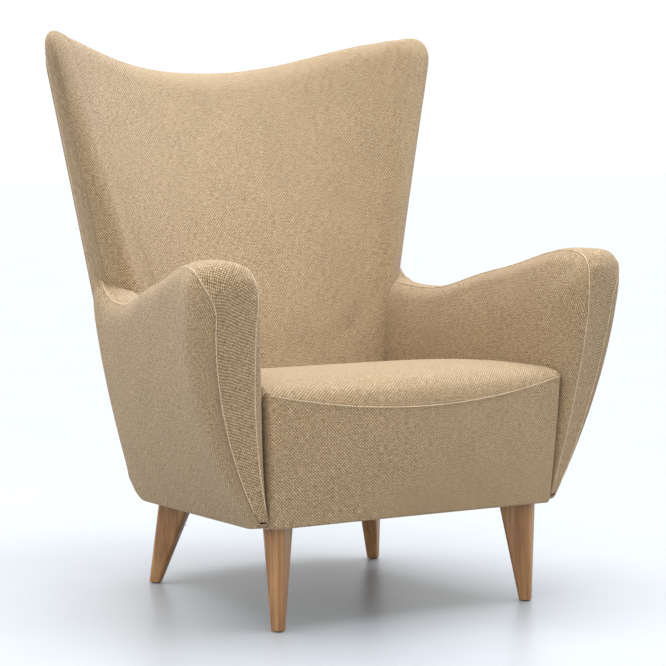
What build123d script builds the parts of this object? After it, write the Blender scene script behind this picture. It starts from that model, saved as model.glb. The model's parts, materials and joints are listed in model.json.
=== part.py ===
from build123d import *
import os
from math import atan, cos, degrees, hypot, pi, radians, sin, sqrt, tan

os.makedirs("parts", exist_ok=True)

# Upholstered wing-back armchair. Millimetres, +Z up, the sitter faces -Y.

# Clearance between neighbouring pieces, and between the seat and the arms
fit = 0.3
side_gap = 0.8

# Underside of the body
underside_front = 184.0
underside_tilt = 3.0
border_y = -416.0

# Arms: inner plane, outer flank and crest
arm_inner_half = 296.0
arm_splay = 0.103
arm_lean = 0.075
arm_nose_y = -404.0
arm_nose_lean = -0.19
arm_nose_turn = 0.34
arm_rear_y = 218.0
arm_foot_front = arm_inner_half + 22.0
arm_foot_rear = arm_inner_half - 47.0
arm_shoulder_front = arm_inner_half + 161.0
arm_shoulder_rear = arm_inner_half + 48.0
arm_bulge_front = 34.0
arm_bulge_rear = 10.0
arm_peak_z = 650.0
arm_peak_y = -389.0
arm_dip_z = 558.0
arm_dip_y = 26.0
arm_meet_z = 580.0
arm_meet_y = 165.0
arm_inner_drop = 80.0
arm_outer_drop_front = 68.0
arm_outer_drop_rear = 48.0
nose_length = 40.0
facing_share = 0.45
nose_lift = 12.0
rear_round = 62.0
rear_lift = 66.0

# Back: outer and inner faces at a lower and an upper level
back_low_z = 430.0
back_high_z = 933.0
back_foam_z = 396.0
outer_low_y = 321.0
outer_low_half = 325.0
outer_low_sag = 104.0
outer_high_y = 447.0
outer_high_half = 428.0
outer_high_sag = 238.0
inner_low_y = 137.0
inner_low_half = 280.0
inner_low_sag = 40.0
inner_high_y = 362.0
inner_high_half = 381.0
inner_high_sag = 192.0
lumbar = 8.0
crest_z = 983.5
crest_rise = 71.0
crest_reach = 0.92
crest_power = 1.15
crest_drop = 42.0
ear_cut = 52.0
wing_edge = 42.0
wing_half_edge = 5.0
rear_panel_t = 10.0
rear_corner = 46.0

# Soft goods
cover_t = 2.0
dust_t = 1.5
border_t = 18.0
border_bow = 6.0
seat_rear_y = 116.0
seat_crown_z = 444.0
seat_side_z = 424.0
seat_fall = 0.058
seat_seam_mid = 384.0
seat_seam_end = 413.0
seat_lip = 26.0
seat_roll = 44.0

# Wooden frame
rail_t = 26.0
rail_h = 92.0
block_leg = 78.0
block_side_rear = 140.0
block_h = 44.0
ply_t = 12.0
dowel_d = 10.0
dowel_l = 40.0
post_w = 32.0
post_d = 42.0
post_x = arm_inner_half - 176.0
post_top_z = 896.0
rail_ply_t = 18.0
mid_rail_z = post_top_z - 351.0
curve_rail_d = 34.0
strap_w = 50.0
strap_t = 2.0

# Springs
wire_d = 3.8
spring_loop = 46.0
spring_pitch = 36.0
spring_rows = 5
spring_gap = 92.0

# Fasteners
bolt_d = 8.0
bolt_head_d = 16.0
bolt_head_h = 4.0
bore_d = 8.4

# Legs
leg_top_x_front = arm_inner_half - 42.0
leg_top_y_front = border_y + 54.0
leg_foot_x_front = leg_top_x_front + 9.0
leg_foot_y_front = leg_top_y_front - 16.0
leg_top_x_rear = arm_inner_half - 80.0
leg_top_y_rear = arm_rear_y - 122.0
leg_foot_x_rear = leg_top_x_rear + 30.0
leg_foot_y_rear = leg_top_y_rear + 31.0
leg_top_long = 62.0
leg_top_wide = 40.0
leg_foot_w = 22.0
leg_edge_r = 6.0
glide_d = 15.0
glide_t = 2.5

TILT = radians(underside_tilt)
BASE_PLANE = Plane(
    origin=(0, border_y, underside_front),
    x_dir=(1, 0, 0),
    z_dir=(0, sin(TILT), cos(TILT)),
)
BASE = BASE_PLANE.location


def underside(y):
    return underside_front - (y - border_y) * tan(TILT)


def arm_inner(y, z):
    return arm_inner_half - arm_splay * (y - arm_nose_y) + arm_lean * (z - underside_front)


def line(p, q):
    return Edge.make_line(p, q)


def arc(p, m, q):
    return Edge.make_three_point_arc(p, m, q)


def skin(wires, ruled=False):
    return Part() + Solid.make_loft(wires, ruled=ruled)


def solid_list(shape):
    return shape.solids()


def joined(shapes):
    return Compound(children=[s for shape in shapes for s in solid_list(shape)])


def mirrored(shape):
    return mirror(shape, about=Plane.YZ)


def slab(points, low, high):
    outline = Wire.make_polygon([(x, y, low) for x, y in points])
    return BASE * extrude(Face(outline), high - low, dir=(0, 0, 1))


def rod(start, end, diameter):
    a = Vector(*start)
    b = Vector(*end)
    plane = Plane(origin=a, z_dir=b - a)
    return Part() + Solid.make_cylinder(diameter / 2, (b - a).length, plane)


# Wedge of space between the two arms
def between_arms(gap):
    rings = []
    for z in (60, 760):
        y0 = arm_nose_y - 160
        y1 = arm_rear_y + 160
        a = arm_inner(y0, z) - gap
        b = arm_inner(y1, z) - gap
        rings.append(Wire.make_polygon([(-a, y0, z), (a, y0, z), (b, y1, z), (-b, y1, z)]))
    return Part() + Solid.make_loft(rings, ruled=True)


# Right arm, as sections from the turned nose to the square rear end
def crest_height(y):
    if y < arm_peak_y:
        return arm_peak_z
    if y < arm_dip_y:
        share = (y - arm_peak_y) / (arm_dip_y - arm_peak_y)
        wave = 0.5 + 0.5 * cos(pi * share)
        fall = wave + (1 - share - wave) * sin(pi * share) ** 2
        return arm_dip_z + (arm_peak_z - arm_dip_z) * fall
    share = (y - arm_dip_y) / (arm_meet_y - arm_dip_y)
    return arm_dip_z + (arm_meet_z - arm_dip_z) * share**2


def arm_section(along, squeeze, top_cut, rear_squeeze, lift, inset):
    span = arm_rear_y - arm_nose_y
    share = along / span
    base_y = arm_nose_y + along
    lean = arm_nose_lean * (1 - share)
    turn = arm_nose_turn * (1 - share)
    floor = underside(base_y)
    drop_out = arm_outer_drop_front + (arm_outer_drop_rear - arm_outer_drop_front) * share
    crest_y = base_y + lean * (arm_dip_z - floor)
    top = crest_height(crest_y) - top_cut
    foot = arm_foot_front + (arm_foot_rear - arm_foot_front) * share
    out = arm_shoulder_front + (arm_shoulder_rear - arm_shoulder_front) * share
    bulge = arm_bulge_front + (arm_bulge_rear - arm_bulge_front) * share
    low = floor + inset + lift + 0.6
    high = top - inset
    in_z = top - arm_inner_drop
    out_z = top - drop_out
    mid_z = (low + out_z) / 2

    def inner_x(z):
        flat_y = along + lean * (z - floor) - turn * arm_inner_half
        rise = arm_lean * (z - underside_front)
        return (arm_inner_half - arm_splay * flat_y + rise) / (1 + arm_splay * turn)

    def outer_x(z):
        part = (z - floor) / (out_z - floor)
        return foot + (out - foot) * part + 4 * bulge * part * (1 - part)

    def place(x, z, edge_in, edge_out):
        centre = (edge_in + edge_out) / 2
        x = centre + (x - centre) * squeeze
        x = edge_in + (x - edge_in) * rear_squeeze
        return (x, base_y + lean * (z - floor) + turn * (x - arm_inner_half), z)

    in_low = inner_x(low)
    in_top = inner_x(in_z)
    out_low = outer_x(low)
    out_mid = outer_x(mid_z)
    centre_x = in_top + (out - in_top) * 0.47
    a = place(in_low + inset, low, in_low, out_low)
    b = place(in_top + inset, in_z, in_top, out)
    bc = place(centre_x - (centre_x - in_top - inset) * 0.70, in_z + (high - in_z) * 0.72, in_top, out)
    c = place(centre_x, high, in_top, out)
    cd = place(centre_x + (out - inset - centre_x) * 0.71, out_z + (high - out_z) * 0.71, in_top, out)
    d = place(out - inset, out_z, in_top, out)
    de = place(out_mid - inset, mid_z, inner_x(mid_z), out_mid)
    e = place(out_low - inset, low, in_low, out_low)
    return Wire([line(a, b), arc(b, bc, c), arc(c, cd, d), arc(d, de, e), line(e, a)])


def arm_form(inset):
    span = arm_rear_y - arm_nose_y
    wires = []
    for part in (0.0, 0.18, 0.5, 1.0):
        along = inset + part * nose_length
        bow = sqrt(1 - (1 - part) ** 2)
        squeeze = facing_share + (1 - facing_share) * bow
        wires.append(arm_section(along, squeeze, 46 * (1 - bow), 1.0, nose_lift * (1 - bow), inset))
    for share in (0.16, 0.3, 0.45, 0.6, 0.74, 0.86):
        wires.append(arm_section(share * span, 1.0, 0.0, 1.0, 0.0, inset))
    for part in (1.0, 0.5, 0.18, 0.0):
        along = span - inset - part * rear_round
        bow = sqrt(1 - (1 - part) ** 2)
        wires.append(arm_section(along, 1.0, 0.0, 0.7 + 0.3 * bow, rear_lift * (1 - bow), inset))
    return skin(wires)


# Back with wings, as upright sections from wing edge to wing edge
back_shares = [0.0, 0.15, 0.3, 0.45, 0.6, 0.75, 0.88]


def bend(half, sag, centre_y, share):
    radius = (half * half + sag * sag) / (2 * sag)
    full = atan(half / (radius - sag))
    return (radius * sin(full * share), centre_y - radius * (1 - cos(full * share)))


def level(low, high, z):
    part = (z - back_low_z) / (back_high_z - back_low_z)
    return (low[0] + (high[0] - low[0]) * part, low[1] + (high[1] - low[1]) * part)


def outer_at(share, z):
    low = bend(outer_low_half, outer_low_sag, outer_low_y, share)
    high = bend(outer_high_half, outer_high_sag, outer_high_y, share)
    return level(low, high, z)


def inner_at(share, z):
    low = bend(inner_low_half, inner_low_sag, inner_low_y, share)
    high = bend(inner_high_half, inner_high_sag, inner_high_y, share)
    return level(low, high, z)


def inward(share):
    a = outer_at(share, 0.5 * (back_low_z + back_high_z))
    b = inner_at(share, 0.5 * (back_low_z + back_high_z))
    size = hypot(b[0] - a[0], b[1] - a[1])
    return ((b[0] - a[0]) / size, (b[1] - a[1]) / size)


def crest_at(share):
    part = min(abs(share) / crest_reach, 1.0) ** crest_power
    return crest_z + crest_rise * (0.5 - 0.5 * cos(pi * part))


def back_points(share, bow, top_cut, low, inset, rear_inset):
    w = inward(share)
    top = crest_at(share) - top_cut - inset
    knee = top - crest_drop + inset

    def outer(z):
        p = outer_at(share, z)
        return (p[0] + w[0] * rear_inset, p[1] + w[1] * rear_inset)

    def inner(z):
        p = inner_at(share, z)
        return (p[0] - w[0] * inset, p[1] - w[1] * inset)

    def spot(z, across):
        o = outer(z)
        i = inner(z)
        mid = ((o[0] + i[0]) / 2, (o[1] + i[1]) / 2)
        half = ((o[0] - i[0]) / 2 * bow, (o[1] - i[1]) / 2 * bow)
        thin = (wing_half_edge - inset) * (1 - bow)
        half = (half[0] - w[0] * thin, half[1] - w[1] * thin)
        return (mid[0] + half[0] * across, mid[1] + half[1] * across, z)

    rise = low + (knee - low) * 0.4
    front = spot(rise, -1)
    swell = lumbar * (0.1 + 0.9 * bow)
    front = (front[0] + w[0] * swell, front[1] + w[1] * swell, front[2])
    turn_z = knee + (top - knee) * 0.71
    a = spot(low, -1)
    b = spot(knee, -1)
    bc = spot(turn_z, -0.71)
    c = spot(top, 0)
    cd = spot(turn_z, 0.71)
    d = spot(knee, 1)
    e = spot(low, 1)
    return a, front, b, bc, c, cd, d, e


def back_stations(inset):
    reach = 455.0
    stations = []
    for part in (0.0, 0.07, 0.25, 0.55, 1.0):
        bow = sqrt(1 - (1 - part) ** 2)
        stations.append((1 - (inset + part * wing_edge) / reach, bow, ear_cut * (1 - bow)))
    for share in reversed(back_shares[1:]):
        stations.append((share, 1.0, 0.0))
    left = [(-share, bow, cut) for share, bow, cut in stations]
    return left + [(0.0, 1.0, 0.0)] + stations[::-1]


def back_form(low, inset, rear_inset):
    wires = []
    for share, bow, cut in back_stations(inset):
        a, front, b, bc, c, cd, d, e = back_points(share, bow, cut, low, inset, rear_inset)
        edges = [arc(a, front, b), arc(b, bc, c), arc(c, cd, d), line(d, e), line(e, a)]
        wires.append(Wire(edges))
    return skin(wires, ruled=True)


# Rear panel, as upright sections with rounded lower corners
rear_shares = [0.15, 0.3, 0.45, 0.6, 0.75, 0.79, 0.83, 0.87, 0.90, 0.918, 0.93]


def rear_sheet(foot, drop, thickness):
    wires = []
    corner_start = rear_shares[4]
    corner_span = rear_shares[-1] - corner_start
    for share in [-h for h in reversed(rear_shares)] + [0.0] + rear_shares:
        w = inward(share)
        top = crest_at(share) - drop
        past = max(0.0, abs(share) - corner_start) / corner_span
        low = foot + rear_corner * (1 - sqrt(1 - past**2))
        a = outer_at(share, low)
        b = outer_at(share, top)
        ring = [
            (a[0], a[1], low),
            (b[0], b[1], top),
            (b[0] + w[0] * thickness, b[1] + w[1] * thickness, top),
            (a[0] + w[0] * thickness, a[1] + w[1] * thickness, low),
        ]
        wires.append(Wire.make_polygon(ring))
    return skin(wires, ruled=True)


# Seat, as upright sections from arm to arm
def seat_section(share, edge_cut, inset, low):
    half = arm_inner(border_y, seat_seam_end) + 30
    x = share * half
    crown = seat_side_z + (seat_crown_z - seat_side_z) * (1 - share**2) - edge_cut - inset
    seam = seat_seam_mid + (seat_seam_end - seat_seam_mid) * share**2 + inset + fit
    front = border_y - seat_lip * (1 - share**2) + inset
    step = border_y + border_t + fit + inset
    rear = seat_rear_y - inset
    rear_top = crown - seat_fall * (seat_rear_y - border_y)

    def floor(y):
        return underside(y) + low

    a = (x, rear, floor(rear))
    b = (x, step, floor(step))
    c = (x, step, seam)
    d = (x, front, seam)
    de = (x, front + seat_roll * 0.20, seam + (crown - seam) * 0.66)
    e = (x, front + seat_roll, crown)
    ef = (x, (front + rear) / 2, (crown + rear_top) / 2 + 5)
    f = (x, rear - 12, rear_top)
    fg = (x, rear - 3, rear_top - 4)
    g = (x, rear, rear_top - 12)
    return Wire(
        [line(a, b), line(b, c), line(c, d), arc(d, de, e), arc(e, ef, f), arc(f, fg, g), line(g, a)]
    )


def seat_form(inset, low):
    wires = []
    for share in (-1.0, -0.9, -0.6, -0.3, 0.0, 0.3, 0.6, 0.9, 1.0):
        wires.append(seat_section(share, 0.0, inset, low))
    return skin(wires) & between_arms(side_gap + inset)


def border_section(share, top_gap):
    half = arm_inner(border_y, seat_seam_end) + 30
    x = share * half
    seam = seat_seam_mid + (seat_seam_end - seat_seam_mid) * share**2 - top_gap
    foot = underside(border_y)
    full = border_bow * (1 - 0.8 * share**2)
    lip = seat_lip * (1 - share**2) * 0.85
    a = (x, border_y + border_t, underside(border_y + border_t))
    b = (x, border_y + border_t, seam)
    c = (x, border_y - lip, seam)
    cd = (x, border_y - lip * 0.5 - full, (seam + foot) / 2)
    d = (x, border_y, foot)
    return Wire([line(a, b), line(b, c), arc(c, cd, d), line(d, a)])


# Frame of the seat box, in the tilted plane of the underside
def world_y(by):
    return border_y + by * cos(TILT)


def side_x(by):
    y = world_y(by)
    return arm_inner(y, underside(y)) - rail_t


rail_low = dust_t
rail_top = dust_t + rail_h
deck = rail_top + wire_d + 2.2
front_by = border_t + fit
rear_by = (arm_rear_y - 28.0 - border_y) / cos(TILT)
wide = arm_inner_half * 2
wedge = between_arms(side_gap)


def rail_ends(by0, by1, gap):
    return [
        (-(side_x(by0) - gap), by0),
        (side_x(by0) - gap, by0),
        (side_x(by1) - gap, by1),
        (-(side_x(by1) - gap), by1),
    ]


front_rail = slab(rail_ends(front_by, front_by + rail_t, 0), rail_low, rail_top)
rear_rail = slab(rail_ends(rear_by - rail_t, rear_by, 0), rail_low, rail_top)
side_box = [
    (side_x(front_by), front_by),
    (wide, front_by),
    (wide, rear_by),
    (side_x(rear_by), rear_by),
]
side_rail_right = slab(side_box, rail_low, rail_top) & wedge


def block(by_face, step):
    inner = by_face + step
    a = (side_x(by_face), by_face)
    b = (side_x(inner), inner)
    c = (side_x(by_face) - block_leg, by_face)
    return slab([a, b, c], rail_low, rail_low + block_h)


block_front = block(front_by + rail_t, block_leg)
block_rear = block(rear_by - rail_t, -block_side_rear)

# Dowels through the side rails into the ends of the cross rails
dowels = []
for by in (front_by + rail_t / 2, rear_by - rail_t / 2):
    for bz in (rail_low + rail_h * 0.28, rail_low + rail_h * 0.72):
        x0 = side_x(by) - dowel_l / 2
        pin = Solid.make_cylinder(dowel_d / 2, dowel_l, Plane((x0, by, bz), z_dir=(1, 0, 0)))
        dowels.append(Part() + (BASE * pin))
for pin in dowels:
    side_rail_right = side_rail_right - pin
    front_rail = front_rail - pin - mirrored(pin)
    rear_rail = rear_rail - pin - mirrored(pin)
rail_dowels = joined(dowels + [mirrored(pin) for pin in dowels])

# Zigzag springs between the cross rails, and their clips
spring_z = rail_top + 1.2 + wire_d / 2
spring_start = front_by + rail_t * 0.5
spring_end = rear_by - rail_t * 0.5
turns = int((spring_end - spring_start - 60) / spring_pitch)
turns = turns - turns % 2
lead = (spring_end - spring_start - turns * spring_pitch) / 2
springs = []
clips = []
for row in range(spring_rows):
    x = (row - (spring_rows - 1) / 2) * spring_gap
    spots = [(x, spring_start, spring_z)]
    for turn in range(turns + 1):
        side = spring_loop / 2 if turn % 2 == 0 else -spring_loop / 2
        by = spring_start + lead + turn * spring_pitch
        if turn == 0:
            spots.append((x, by, spring_z))
            spots.append((x + side, by, spring_z))
        elif turn == turns:
            spots.append((x - side, by, spring_z))
            spots.append((x, by, spring_z))
        else:
            spots.append((x - side, by, spring_z))
            spots.append((x + side, by, spring_z))
    spots.append((x, spring_end, spring_z))
    path = FilletPolyline(*spots, radius=7.0)
    wire_face = Plane(origin=spots[0], z_dir=(0, 1, 0)) * Circle(wire_d / 2)
    springs.append(BASE * sweep(wire_face, path=path))
    for by in (spring_start + 4, spring_end - 4):
        body = Pos(x, by, rail_top + (wire_d + 2.0) / 2) * Box(16, 12, wire_d + 2.0)
        tunnel = Pos(x, by, spring_z) * Rot(90, 0, 0) * Cylinder(wire_d / 2 + 0.1, 40)
        clips.append(BASE * (body - tunnel))
seat_springs = joined(springs)
spring_clips = joined(clips)

# Seat padding, cover and front border
seat_foam = seat_form(cover_t + fit, deck)
seat_shell = seat_form(0.0, deck)
seat_core = seat_form(cover_t, deck - 30)
seat_cover = seat_shell - seat_core
border_wires = []
for share in (-1.0, -0.8, -0.5, 0.0, 0.5, 0.8, 1.0):
    border_wires.append(border_section(share, 0.0))
front_border = skin(border_wires) & wedge
dust_edge = 5.0
dust_points = [
    (-(side_x(front_by) + rail_t - dust_edge), front_by),
    (side_x(front_by) + rail_t - dust_edge, front_by),
    (side_x(rear_by) + rail_t - dust_edge, rear_by),
    (-(side_x(rear_by) + rail_t - dust_edge), rear_by),
]
dust_cover = slab(dust_points, 0, dust_t)

# Back frame: posts, cross rails, wing ribs and straps
post_share = 0.27
post_run = back_high_z - back_low_z
post_lean = outer_at(post_share, back_high_z)[1] - outer_at(post_share, back_low_z)[1]
post_tilt = degrees(atan(post_lean / post_run))
post_foot_z = underside(arm_rear_y) + 14
post_back_gap = rear_panel_t + 12


def post_solid(grow):
    y = outer_at(post_share, post_foot_z)[1] - post_back_gap - post_d / 2
    height = 900.0
    body = Pos(0, 0, height / 2 - 40) * Box(post_w + 2 * grow, post_d + 2 * grow, height)
    body = Pos(post_x, y, post_foot_z) * Rot(-post_tilt, 0, 0) * body
    keep_h = post_top_z - post_foot_z + 2 * grow
    keep = Pos(post_x, 300, post_foot_z - grow + keep_h / 2) * Box(200, 900, keep_h)
    return body & keep


rear_face_y = arm_rear_y - 28.0
notch = slab([(-400, -400), (400, -400), (400, rear_by), (-400, rear_by)], -60, rail_top + 1)
back_post_right = post_solid(0) - notch
lower_y = outer_at(post_share, post_foot_z)[1] - post_back_gap - post_d / 2
lower_h = 70.0
lower_box = Pos(0, 0, lower_h / 2 + 4) * Box(2 * (post_x - post_w / 2), 24, lower_h)
back_bottom_rail = Pos(0, lower_y + 8, post_foot_z) * Rot(-post_tilt, 0, 0) * lower_box


def curve_rail(z, depth, grow):
    points_out = []
    points_in = []
    for share in (-0.86, -0.43, 0.0, 0.43, 0.86):
        o = outer_at(share, z)
        i = inner_at(share, z)
        m = ((o[0] + i[0]) / 2, (o[1] + i[1]) / 2)
        w = inward(share)
        reach = depth / 2 + grow
        points_out.append((m[0] - w[0] * reach, m[1] - w[1] * reach))
        points_in.append((m[0] + w[0] * reach, m[1] + w[1] * reach))
    z0 = z - grow
    out = [(p[0], p[1], z0) for p in points_out]
    inn = [(p[0], p[1], z0) for p in points_in]
    edge = Wire(
        [
            arc(out[0], out[1], out[2]),
            arc(out[2], out[3], out[4]),
            line(out[4], inn[4]),
            arc(inn[4], inn[3], inn[2]),
            arc(inn[2], inn[1], inn[0]),
            line(inn[0], out[0]),
        ]
    )
    return extrude(Face(edge), rail_ply_t + 2 * grow, dir=(0, 0, 1))


back_top_rail = curve_rail(post_top_z, curve_rail_d, 0)
mid_depth = 80.0
both_posts = post_solid(0.1) + mirrored(post_solid(0.1))
back_mid_rail = curve_rail(mid_rail_z, mid_depth, 0) - both_posts


def rib(grow):
    share = 0.82
    z0 = mid_rail_z + rail_ply_t - grow
    z1 = post_top_z + grow
    rings = []
    for z in (z0, z1):
        o = outer_at(share, z)
        i = inner_at(share, z)
        m = ((o[0] + i[0]) / 2, (o[1] + i[1]) / 2)
        w = inward(share)
        n = (-w[1], w[0])
        a = 13.0 + grow
        b = ply_t / 2 + grow
        ring = [
            (m[0] + w[0] * a + n[0] * b, m[1] + w[1] * a + n[1] * b, z),
            (m[0] - w[0] * a + n[0] * b, m[1] - w[1] * a + n[1] * b, z),
            (m[0] - w[0] * a - n[0] * b, m[1] - w[1] * a - n[1] * b, z),
            (m[0] + w[0] * a - n[0] * b, m[1] + w[1] * a - n[1] * b, z),
        ]
        rings.append(Wire.make_polygon(ring))
    return Part() + Solid.make_loft(rings, ruled=True)


wing_rib_right = rib(0)


def strap(z, grow):
    y = outer_at(post_share, post_foot_z)[1] - post_back_gap - post_d / 2
    reach = (z - post_foot_z) / cos(radians(post_tilt))
    size = Box(2 * (post_x + post_w / 2), strap_t + 2 * grow, strap_w + 2 * grow)
    body = Pos(0, -post_d / 2 - strap_t / 2, reach) * size
    return Pos(0, y, post_foot_z) * Rot(-post_tilt, 0, 0) * body


strap_levels = [post_top_z - drop for drop in (256.0, 166.0, 76.0)]
back_webbing = joined([strap(z, 0) for z in strap_levels])

# Padded back with its bonded cloth, and the panel behind it
foam_rear = rear_panel_t + fit
back_pad = back_form(back_foam_z, 0.0, foam_rear)
for pocket in (
    post_solid(fit),
    mirrored(post_solid(fit)),
    curve_rail(post_top_z, curve_rail_d, fit),
    curve_rail(mid_rail_z, mid_depth, fit),
    rib(fit),
    mirrored(rib(fit)),
    strap(strap_levels[0], fit),
    strap(strap_levels[1], fit),
    strap(strap_levels[2], fit),
):
    back_pad = back_pad - pocket
back_pad = back_pad - seat_form(-fit, deck - 30)
outside_back_panel = rear_sheet(underside(arm_rear_y) + 2, crest_drop + 2.0, rear_panel_t)

# Arms, cut to the back that stands behind them
back_clear = back_form(back_foam_z - fit, -fit, foam_rear - fit)
arm_shell = arm_form(0.0)
arm_core = arm_form(cover_t)
arm_cover_right = arm_shell - arm_core - back_clear
arm_foam_right = arm_form(cover_t + fit) - back_clear


def panel_plate(grow):
    gap = cover_t + 6.0 - grow
    rear = 80.0

    def spot(y, z):
        return (arm_inner(y, z) + gap, y, z)

    front = arm_nose_y + 70
    foot = underside(front) + 24
    tail = underside(arm_rear_y) + 24
    outline = [
        spot(front - grow, foot - grow),
        spot(front - 46 - grow, arm_peak_z - 110),
        spot(front - 20, arm_peak_z - 84 + grow),
        spot(arm_dip_y - 70, arm_dip_z - 72 + grow),
        spot(rear + grow, arm_dip_z - 72 + grow),
        spot(rear + grow, back_foam_z - 30 + grow),
        spot(arm_rear_y - rear_round + grow, back_foam_z - 30 + grow),
        spot(arm_rear_y - rear_round + grow, tail - grow),
    ]
    face = Face(Wire.make_polygon(outline))
    return extrude(face, ply_t + 2 * grow, dir=(1, arm_splay, -arm_lean))


arm_panel_right = panel_plate(0)
arm_foam_right = arm_foam_right - panel_plate(fit)

# Bolts from the seat box into the arm panels
arm_bolt_list = []
arm_bores = []
for y, up in ((arm_nose_y + 130, 64.0), (arm_rear_y - 110, 64.0)):
    z = underside(y) + up
    axis = Vector(1, arm_splay, -arm_lean).normalized()
    start = Vector(arm_inner(y, z) - rail_t - arm_lean * up - 1.2, y, z) + axis * 0.0
    tip = Vector(arm_inner(y, z) + cover_t + 6.0 + ply_t, y, z)
    reach = (tip - start).length
    shank = rod(tuple(start), tuple(start + axis * reach), bolt_d)
    head = rod(tuple(start - axis * bolt_head_h), tuple(start), bolt_head_d)
    arm_bolt_list.append(shank + head)
    arm_bores.append(rod(tuple(start - axis * 60), tuple(start + axis * (reach + 2)), bore_d))
for bore in arm_bores:
    side_rail_right = side_rail_right - bore
    arm_cover_right = arm_cover_right - bore
    arm_foam_right = arm_foam_right - bore
    arm_panel_right = arm_panel_right - bore
arm_bolts = joined(arm_bolt_list + [mirrored(b) for b in arm_bolt_list])

# Bolts from the rear rail into the posts
back_bolt_list = []
for bz in (rail_low + rail_h * 0.25, rail_low + rail_h * 0.75):
    y0 = rear_by - rail_t
    shank = Solid.make_cylinder(bolt_d / 2, rail_t + 22, Plane((post_x, y0, bz), z_dir=(0, 1, 0)))
    head_plane = Plane((post_x, y0 - bolt_head_h, bz), z_dir=(0, 1, 0))
    head = Solid.make_cylinder(bolt_head_d / 2, bolt_head_h, head_plane)
    bore = Solid.make_cylinder(bore_d / 2, rail_t + 24, Plane((post_x, y0, bz), z_dir=(0, 1, 0)))
    back_bolt_list.append(BASE * (Part() + shank + head))
    hole = BASE * (Part() + bore)
    rear_rail = rear_rail - hole - mirrored(hole)
    back_post_right = back_post_right - hole
back_bolts = joined(back_bolt_list + [mirrored(b) for b in back_bolt_list])


# Legs, turned to the corners, with hanger bolts, tee nuts and glides
def ring(centre, turn, long, wide_w, radius, plane_tilt):
    plane = Plane(origin=centre, x_dir=(1, 0, 0), z_dir=(0, sin(plane_tilt), cos(plane_tilt)))
    shape = plane * Rot(0, 0, turn) * RectangleRounded(long, wide_w, radius)
    return shape.faces()[0].outer_wire()


def leg(top_x, top_y, foot_x, foot_y, turn):
    top = (top_x, top_y, underside(top_y))
    foot = (foot_x, foot_y, glide_t)
    wires = [
        ring(top, turn, leg_top_long, leg_top_wide, leg_edge_r, TILT),
        ring(foot, turn, leg_foot_w, leg_foot_w, leg_edge_r, 0.0),
    ]
    return Part() + Solid.make_loft(wires, ruled=True)


def leg_set(top_x, top_y, foot_x, foot_y, turn, block_piece, in_x, in_y):
    body = leg(top_x, top_y, foot_x, foot_y, turn)
    by = (top_y + in_y - border_y) / cos(TILT)
    bolt_x = top_x - in_x
    low = Plane((bolt_x, by, -46), z_dir=(0, 0, 1))
    nut_z = rail_low + 14.0
    bolt = BASE * (Part() + Solid.make_cylinder(bolt_d / 2, 46 + rail_low + 34, low))
    bore = BASE * (Part() + Solid.make_cylinder(bore_d / 2, 47 + rail_low + 60, low))
    nut_plane = Plane((bolt_x, by, nut_z), z_dir=(0, 0, 1))
    barrel = Solid.make_cylinder(11.0 / 2, block_h - 14.0, nut_plane)
    flange_plane = Plane((bolt_x, by, rail_low + block_h), z_dir=(0, 0, 1))
    flange = Solid.make_cylinder(24.0 / 2, 1.6, flange_plane)
    nut = BASE * (Part() + barrel + flange)
    seat = BASE * (Part() + Solid.make_cylinder(11.2 / 2, block_h, nut_plane))
    glide = rod((foot_x, foot_y, 0), (foot_x, foot_y, glide_t), glide_d)
    pin = rod((foot_x, foot_y, glide_t), (foot_x, foot_y, glide_t + 10), 4.0)
    pin_bore = rod((foot_x, foot_y, glide_t - 1), (foot_x, foot_y, glide_t + 11), 4.2)
    return body - bore - pin_bore, bolt, nut - bore, glide + pin, block_piece - bore - seat, bore


front_set = leg_set(
    leg_top_x_front, leg_top_y_front, leg_foot_x_front, leg_foot_y_front, -45.0, block_front, 12.0, 12.0
)
rear_set = leg_set(
    leg_top_x_rear, leg_top_y_rear, leg_foot_x_rear, leg_foot_y_rear, 45.0, block_rear, 14.0, 0.0
)
for kit in (front_set, rear_set):
    dust_cover = dust_cover - kit[5] - mirrored(kit[5])

pieces = {
    "front_rail": front_rail,
    "rear_rail": rear_rail,
    "side_rail_right": side_rail_right,
    "side_rail_left": mirrored(side_rail_right),
    "corner_block_front_right": front_set[4],
    "corner_block_front_left": mirrored(front_set[4]),
    "corner_block_rear_right": rear_set[4],
    "corner_block_rear_left": mirrored(rear_set[4]),
    "rail_dowels": rail_dowels,
    "seat_springs": seat_springs,
    "spring_clips": spring_clips,
    "seat_foam": seat_foam,
    "seat_cover": seat_cover,
    "front_border": front_border,
    "dust_cover": dust_cover,
    "arm_panel_right": arm_panel_right,
    "arm_panel_left": mirrored(arm_panel_right),
    "arm_foam_right": arm_foam_right,
    "arm_foam_left": mirrored(arm_foam_right),
    "arm_cover_right": arm_cover_right,
    "arm_cover_left": mirrored(arm_cover_right),
    "arm_bolts": arm_bolts,
    "back_post_right": back_post_right,
    "back_post_left": mirrored(back_post_right),
    "back_top_rail": back_top_rail,
    "back_mid_rail": back_mid_rail,
    "back_bottom_rail": back_bottom_rail,
    "wing_rib_right": wing_rib_right,
    "wing_rib_left": mirrored(wing_rib_right),
    "back_webbing": back_webbing,
    "back_pad": back_pad,
    "outside_back_panel": outside_back_panel,
    "back_bolts": back_bolts,
    "leg_front_right": front_set[0],
    "leg_front_left": mirrored(front_set[0]),
    "leg_rear_right": rear_set[0],
    "leg_rear_left": mirrored(rear_set[0]),
    "leg_bolts": joined([front_set[1], mirrored(front_set[1]), rear_set[1], mirrored(rear_set[1])]),
    "leg_tee_nuts": joined([front_set[2], mirrored(front_set[2]), rear_set[2], mirrored(rear_set[2])]),
    "leg_glides": joined([front_set[3], mirrored(front_set[3]), rear_set[3], mirrored(rear_set[3])]),
}

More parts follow.
